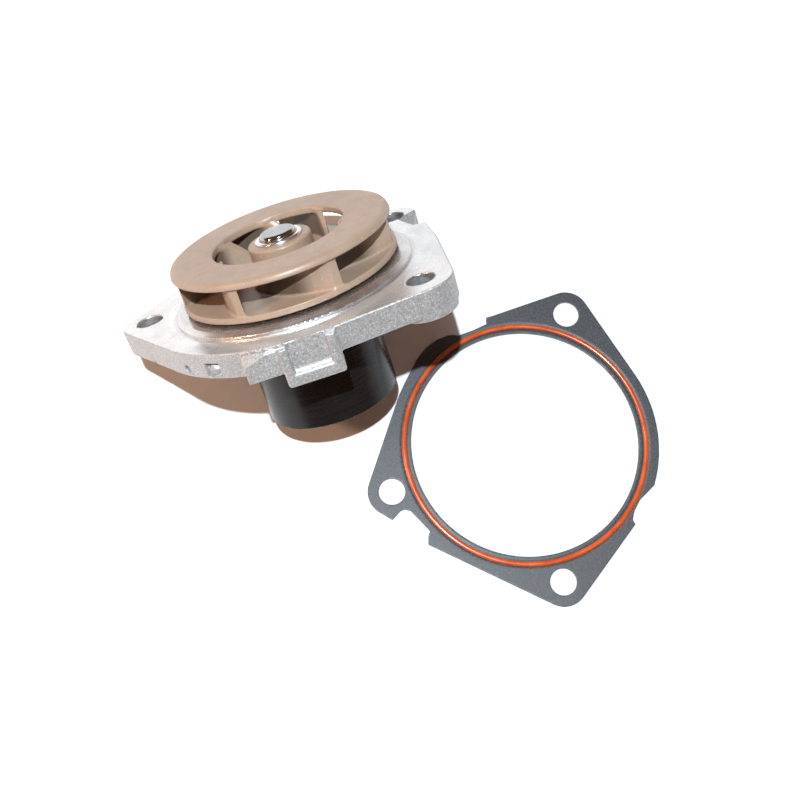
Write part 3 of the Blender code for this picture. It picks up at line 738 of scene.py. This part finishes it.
def impeller_plastic():
    s = Shader("impeller_plastic", Specular_IOR_Level=0.55)
    broad = s.noise(45.0, 3.0, 0.5, distortion=0.6)
    flow = s.noise(1.0, 4.0, 0.6, vector=s.polar(5.0, 170.0, 240.0), distortion=0.4)
    fine = s.noise(3200.0, 2.0, 0.5)
    fibre = s.math("GREATER_THAN", s.noise(1500.0, 3.0, 0.6, vector=s.scaled(1.0, 1.0, 0.5)), 0.665)
    base = s.mix(s.span(broad, 0.3, 0.7), (0.352, 0.240, 0.172), (0.412, 0.290, 0.214))
    base = s.mix(s.span(flow, 0.45, 0.75, 0.0, 0.30), base, (0.295, 0.190, 0.132))
    base = s.mix(s.span(fine, 0.35, 0.65, 0.0, 0.16), base, (0.58, 0.45, 0.34))
    base = s.mix(s.math("MULTIPLY", fibre, 0.45), base, (0.66, 0.54, 0.42))
    out, up = s.radius(), s.height()
    # painted shade: between the disc and the shroud, from about 20 to 31 mm out, the plastic is coloured nearly black
    # where shade falls in the passages
    painted_shade = s.math("MULTIPLY", s.span(out, 0.0315, 0.0280), s.span(out, 0.0195, 0.0215))
    painted_shade = s.math("MULTIPLY", painted_shade, s.math("MULTIPLY", s.span(up, 0.0052, 0.0060), s.span(up, 0.0148, 0.0140)))
    base = s.mix(s.math("MULTIPLY", painted_shade, 0.78), base, (0.045, 0.028, 0.018))
    s.colour(base)
    s.rough(s.span(flow, 0.3, 0.7, 0.33, 0.44))
    s.bump((fine, 0.22, 0.00004), (flow, 0.12, 0.0001), (s.noise(420.0, 3.0), 0.10, 0.00012))
    return s.mat


def pulley_black():
    s = Shader("pulley_black", Coat_Weight=0.10, Coat_Roughness=0.10, Specular_IOR_Level=0.34)
    streak = s.noise(1.0, 4.0, 0.6, vector=s.polar(2.0, 500.0, 1500.0))
    scuff = s.noise(1.0, 4.0, 0.6, vector=s.polar(3.0, 200.0, 60.0), distortion=0.4)
    dust = s.math("GREATER_THAN", s.noise(2400.0, 2.0, 0.5), 0.72)
    base = s.mix(s.span(streak, 0.3, 0.7), (0.0070, 0.0060, 0.0062), (0.0135, 0.0120, 0.0125))
    base = s.mix(s.span(scuff, 0.62, 0.80, 0.0, 0.20), base, (0.040, 0.037, 0.039))
    base = s.mix(s.math("MULTIPLY", dust, 0.10), base, (0.10, 0.09, 0.09))
    s.colour(base)
    s.rough(s.math("ADD", s.span(streak, 0.3, 0.7, 0.20, 0.30), s.span(scuff, 0.55, 0.8, 0.0, 0.16)))
    s.bump((streak, 0.05, 0.00003), (scuff, 0.05, 0.00005))
    return s.mat


def bright_steel(name, light, dark, rough_low, rough_high, grain=0.5, strength=0.15):
    s = Shader(name, metallic=1.0)
    rings = s.noise(1.0, 3.0, 0.6, vector=s.polar(1.2, 3800.0, 2200.0))
    mottle = s.noise(260.0, 3.0)
    base = s.mix(s.span(rings, 0.3, 0.7), dark, light)
    base = s.mix(s.span(mottle, 0.45, 0.75, 0.0, 0.2), base, tuple(c * 0.8 for c in dark))
    s.colour(base)
    s.rough(s.span(rings, 0.3, 0.7, rough_low, rough_high))
    s.bump((rings, strength, 0.00004))
    s.turn_grain(grain)
    return s.mat


def gasket_coating():
    s = Shader("gasket_coating", Specular_IOR_Level=0.6)
    grit = s.noise(2100.0, 3.0, 0.6)
    grit2 = s.noise(3900.0, 2.0, 0.5)
    cloud = s.noise(60.0, 4.0)
    base = s.mix(s.span(grit, 0.36, 0.64), (0.011, 0.0105, 0.0125), (0.068, 0.067, 0.076))
    base = s.mix(s.math("MULTIPLY", s.math("GREATER_THAN", grit2, 0.60), 0.5), base, (0.185, 0.185, 0.205))
    base = s.mix(s.span(cloud, 0.35, 0.7, 0.0, 0.35), base, (0.030, 0.033, 0.040))
    s.colour(base)
    s.rough(s.span(grit, 0.3, 0.7, 0.36, 0.58))
    s.bump((grit, 0.45, 0.00009), (grit2, 0.25, 0.00005))
    return s.mat


def bare_edge():
    s = Shader("gasket_edge", metallic=0.9)
    grit = s.noise(1800.0, 3.0, 0.6, vector=s.scaled(1.0, 1.0, 0.25))
    s.colour(s.mix(s.span(grit, 0.35, 0.65), (0.12, 0.115, 0.12), (0.34, 0.32, 0.31)))
    s.rough(s.span(grit, 0.3, 0.7, 0.32, 0.55))
    s.bump((grit, 0.3, 0.00008))
    return s.mat


def bead_silicone():
    s = Shader("bead_silicone", Coat_Weight=0.25, Coat_Roughness=0.15, Specular_IOR_Level=0.5)
    soft = s.noise(1.0, 3.0, 0.5, vector=s.polar(9.0, 500.0, 500.0))
    fine = s.noise(2600.0, 2.0, 0.5)
    base = s.mix(s.span(soft, 0.3, 0.7), (0.50, 0.060, 0.010), (0.66, 0.105, 0.018))
    base = s.mix(s.span(fine, 0.4, 0.7, 0.0, 0.2), base, (0.74, 0.17, 0.05))
    s.colour(base)
    s.rough(s.span(soft, 0.3, 0.7, 0.22, 0.34))
    s.bump((soft, 0.10, 0.00010), (fine, 0.10, 0.00003))
    return s.mat


def seal_rubber():
    s = Shader("seal_rubber", Specular_IOR_Level=0.4)
    grain = s.noise(1400.0, 4.0)
    s.colour(s.mix(s.span(grain, 0.3, 0.7), (0.012, 0.012, 0.013), (0.035, 0.034, 0.034)))
    s.rough(s.span(grain, 0.3, 0.7, 0.48, 0.68))
    s.bump((grain, 0.25, 0.00006))
    return s.mat


def carbon():
    s = Shader("carbon", metallic=0.2)
    grain = s.noise(2200.0, 4.0)
    s.colour(s.mix(s.span(grain, 0.3, 0.7), (0.035, 0.036, 0.040), (0.085, 0.086, 0.092)))
    s.rough(s.span(grain, 0.3, 0.7, 0.25, 0.42))
    s.bump((grain, 0.12, 0.00003))
    return s.mat


def cage_plastic():
    s = Shader("cage_plastic", Specular_IOR_Level=0.45)
    grain = s.noise(900.0, 4.0)
    s.colour(s.mix(s.span(grain, 0.3, 0.7), (0.12, 0.22, 0.15), (0.20, 0.34, 0.24)))
    s.rough(s.span(grain, 0.3, 0.7, 0.40, 0.55))
    s.bump((grain, 0.2, 0.00005))
    return s.mat


M_CAST = cast_aluminium()
M_FACED = machined_aluminium()
M_DRILLED = drilled_aluminium()
M_IMPELLER = impeller_plastic()
M_PULLEY = pulley_black()
M_SHAFT_SIDE = bright_steel("shaft_polished", (0.56, 0.55, 0.55), (0.44, 0.43, 0.43), 0.05, 0.10, 0.2, 0.03)
M_SHAFT_END = bright_steel("shaft_end", (0.56, 0.60, 0.62), (0.43, 0.46, 0.48), 0.30, 0.42, 0.4, 0.2)
M_INSERT = bright_steel("insert_steel", (0.92, 0.91, 0.90), (0.80, 0.79, 0.78), 0.18, 0.30, 0.5, 0.15)
M_BEARING = bright_steel("bearing_steel", (0.66, 0.66, 0.68), (0.52, 0.52, 0.54), 0.14, 0.26, 0.4, 0.08)
M_SPRING = bright_steel("spring_steel", (0.66, 0.66, 0.68), (0.50, 0.50, 0.52), 0.20, 0.32, 0.0, 0.08)
M_CUP = bright_steel("seal_metal", (0.74, 0.62, 0.42), (0.60, 0.49, 0.32), 0.18, 0.30, 0.3, 0.08)
M_RUBBER = seal_rubber()
M_CARBON = carbon()
M_CAGE = cage_plastic()
Shader.place = gasket_place
M_GASKET = gasket_coating()
M_EDGE = bare_edge()
M_BEAD = bead_silicone()
Shader.place = Matrix.Identity(4)

CARRIED = {
    "bearing_outer_ring": M_BEARING, "bearing_seal_front": M_RUBBER, "bearing_seal_rear": M_RUBBER,
    "seal_cup": M_CUP, "seal_bellows": M_RUBBER, "seal_spring": M_SPRING, "seal_carbon_ring": M_CARBON,
    "seal_mating_ring": M_CARBON, "seal_mating_boot": M_RUBBER, "ball_cage": M_CAGE, "roller_cage": M_CAGE,
}
for k in range(1, 9):
    CARRIED[f"ball_{k}"] = CARRIED[f"roller_{k}"] = M_BEARING
for node, mat in CARRIED.items():
    obj = frame["nodes"][node]
    obj.data.materials.clear()
    obj.data.materials.append(mat)
    obj.data.shade_smooth()
    obj.data.set_sharp_from_angle(angle=math.radians(35))


# ------------------------------------------------------------------ the pieces
def thin_out(obj, ratio):
    """Merges faces where the surface is flat or nearly so, and applies the result."""
    mod = obj.modifiers.new("thin", "DECIMATE")
    mod.ratio = ratio
    bpy.context.view_layer.update()
    graph = bpy.context.evaluated_depsgraph_get()
    mesh = bpy.data.meshes.new_from_object(obj.evaluated_get(graph))
    obj.modifiers.clear()
    old = obj.data
    obj.data = mesh
    bpy.data.meshes.remove(old)
    obj.data.name = obj.name
    return obj


def face_data(obj):
    mesh = obj.data
    n = len(mesh.polygons)
    centre, normal = np.empty(n * 3, np.float32), np.empty(n * 3, np.float32)
    mesh.polygons.foreach_get("center", centre)
    mesh.polygons.foreach_get("normal", normal)
    return centre.reshape(-1, 3) / MM, normal.reshape(-1, 3)


# housing
points, quads = dual_contour(housing_field, (-62.13, -62.07, -36.83), (62.0, 62.0, 3.0), 0.5)
housing = mesh_from("housing_casting", points, quads, [M_CAST, M_FACED, M_DRILLED], pump_place)
thin_out(housing, 0.50)
centre, normal = face_data(housing)
radius = np.hypot(centre[:, 0], centre[:, 1])
faced = (centre[:, 2] > -0.3) & ((normal[:, 2] > np.where(radius > 45.5, 0.86, 0.2)) | (radius < 41.0))
faced |= (radius < 20.0) & (centre[:, 2] < -0.3) & (radius < 18.3)
faced &= centre[:, 2] > -36.5
drilled = np.zeros(len(centre), bool)
for deg, _ in EARS:
    cx, cy = CIRCLE_R * math.cos(math.radians(deg)), CIRCLE_R * math.sin(math.radians(deg))
    drilled |= (np.hypot(centre[:, 0] - cx, centre[:, 1] - cy) < 4.56) & (np.abs(normal[:, 2]) < 0.5)
index = np.where(drilled, 2, np.where(faced, 1, 0))
housing.data.polygons.foreach_set("material_index", index.astype(np.int32))
clean(housing, field=housing_field)
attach(housing, "housing")
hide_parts("housing")

# impeller
points, quads = dual_contour(impeller_field, (-37.13, -37.07, 2.03), (37.0, 37.0, 17.5), 0.5)
impeller = mesh_from("impeller_moulding", points, quads, [M_IMPELLER], pump_place)
thin_out(impeller, 0.45)
clean(impeller, 40.0, impeller_field)
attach(impeller, "rotor")
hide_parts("impeller")

# gasket carrier
points, quads = dual_contour(carrier_field, (-62.07, -62.03, -0.4), (62.0, 62.0, 1.6), 0.4)
carrier = mesh_from("gasket_plate", points, quads, [M_GASKET, M_EDGE], gasket_place)
thin_out(carrier, 0.5)
centre, normal = face_data(carrier)
edge = (np.abs(normal[:, 2]) < 0.45)
carrier.data.polygons.foreach_set("material_index", edge.astype(np.int32))
clean(carrier)
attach(carrier, "gasket")
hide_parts("gasket_carrier")

# sealing bead, a low crowned section laid in its groove
bead = lathe(
    "gasket_bead",
    [(42.0 + 0.86 * math.cos(t), 0.93 + 0.56 * max(-0.30, math.sin(t))) for t in np.linspace(0, 2 * math.pi, 25)[:-1]],
    288, [M_BEAD], gasket_place,
)
clean(bead, 60.0)
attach(bead, "gasket")
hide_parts("sealing_bead")

# pulley
profile = [
    (21.75, -13.0), (21.75, -41.7), (19.1, -41.7), (18.6, -41.1), (12.4, -41.1), (11.8, -41.65),
    (8.4, -41.65), (7.6, -40.9), (6.05, -40.9), (6.05, -37.2), (9.2, -37.2), (9.2, -38.2), (18.75, -38.2), (18.75, -13.0),
]
radii = [0.35, 0.22, 0.25, 0.3, 0.3, 0.3, 0.3, 0.3, 0.0, 0.0, 0.0, 0.3, 1.4, 0.3]
pulley = lathe("pulley_drum", rounded(profile, radii), 224, [M_PULLEY], pump_place)
clean(pulley)
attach(pulley, "rotor")
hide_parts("pulley")

# shaft, with a centre drilling in its lower end
profile = [
    (0.0, 18.0), (6.0, 18.0), (6.0, -41.2), (1.4, -41.2), (0.7, -40.5), (0.0, -40.1),
]
radii = [0, 1.25, 0.6, 0.1, 0.1, 0]
shaft = lathe("pump_shaft", rounded(profile, radii, 6), 128, [M_SHAFT_SIDE, M_SHAFT_END], pump_place, closed=False)
centre, normal = face_data(shaft)
shaft.data.polygons.foreach_set("material_index", (np.abs(normal[:, 2]) > 0.97).astype(np.int32))
clean(shaft)
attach(shaft, "rotor")
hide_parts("shaft")

# insert moulded into the impeller
profile = [(7.72, 16.5), (7.72, 2.35), (6.06, 2.35), (6.06, 16.5)]
insert = lathe("impeller_bush", rounded(profile, [0.6, 0.3, 0.0, 0.35], 5), 128, [M_INSERT], pump_place)
clean(insert)
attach(insert, "rotor")
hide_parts("impeller_insert")

# ------------------------------------------------------------------ floor, lights and camera
def stage_material():
    s = Shader("floor_paper", roughness=0.7, Specular_IOR_Level=0.2)
    fibre = s.noise(180.0, 4.0)
    s.colour(s.mix(s.span(fibre, 0.3, 0.7), (0.86, 0.855, 0.85), (0.90, 0.895, 0.89)))
    # painted light: the floor glows, not at all within 0.42 m of the origin and rising to 0.9 at 1.5 m, so that the
    # far floor looks lit where the lamps fall off
    s.bsdf.inputs["Emission Color"].default_value = (0.95, 0.94, 0.93, 1.0)
    s.link(s.span(s.radius(), 0.42, 1.5, 0.0, 0.9), s.bsdf.inputs["Emission Strength"])
    return s.mat


floor_mesh = bpy.data.meshes.new("floor")
bm = bmesh.new()
bmesh.ops.create_grid(bm, x_segments=2, y_segments=2, size=60.0)
bm.to_mesh(floor_mesh)
bm.free()
floor = bpy.data.objects.new("floor", floor_mesh)
bpy.context.scene.collection.objects.link(floor)
floor.location.z = -0.0001
floor_mesh.materials.append(stage_material())

world = bpy.data.worlds.new("studio")
bpy.context.scene.world = world
world.use_nodes = True
back = world.node_tree.nodes["Background"]
back.inputs["Color"].default_value = (1.0, 0.50, 0.28, 1.0)
back.inputs["Strength"].default_value = 0.15
# a pale backdrop for the eye only, so that the fill light stays warm
paper = world.node_tree.nodes.new("ShaderNodeBackground")
paper.inputs["Color"].default_value = (0.93, 0.925, 0.92, 1.0)
seen = world.node_tree.nodes.new("ShaderNodeLightPath")
choose = world.node_tree.nodes.new("ShaderNodeMixShader")
world.node_tree.links.new(seen.outputs["Is Camera Ray"], choose.inputs[0])
world.node_tree.links.new(back.outputs[0], choose.inputs[1])
world.node_tree.links.new(paper.outputs[0], choose.inputs[2])
world.node_tree.links.new(choose.outputs[0], world.node_tree.nodes["World Output"].inputs["Surface"])


def lamp(name, at, size, power, colour):
    """A disc light aimed at the middle of the pump."""
    light = bpy.data.lights.new(name, "AREA")
    light.shape = "DISK"
    light.size = size
    light.energy = power
    light.color = colour
    obj = bpy.data.objects.new(name, light)
    bpy.context.scene.collection.objects.link(obj)
    obj.location = at
    obj.rotation_mode = "QUATERNION"
    obj.rotation_quaternion = (Vector((-0.02, 0.01, 0.03)) - Vector(at)).to_track_quat("-Z", "Y")
    return obj


lamp("key", (-0.082, -0.090, 1.0), 0.016, 12.6, (0.80, 0.93, 1.0))
lamp("soft", (-0.10, 0.05, 0.95), 0.30, 0.8, (0.74, 0.90, 1.0))
lamp("warm", (-0.74, -0.05, 0.50), 0.12, 2.6, (1.0, 0.60, 0.38))

camera = bpy.data.cameras.new("camera")
camera.lens = 57.11
camera.sensor_width = 36.0
camera.clip_start = 0.01
camera.clip_end = 20.0
view = bpy.data.objects.new("camera", camera)
bpy.context.scene.collection.objects.link(view)
right = Vector((0.9989, 0.0043, 0.0479)).normalized()
ahead = Vector((0.0452, 0.2541, -0.9661)).normalized()
up = right.cross(ahead).normalized()
right = ahead.cross(up).normalized()
place = Matrix((right, up, -ahead)).transposed().to_4x4()
place.translation = gasket_centre + Vector((-0.06325, -0.0973, 0.42554))
view.matrix_world = place
bpy.context.scene.camera = view
bpy.context.scene.view_settings.view_transform = "Standard"
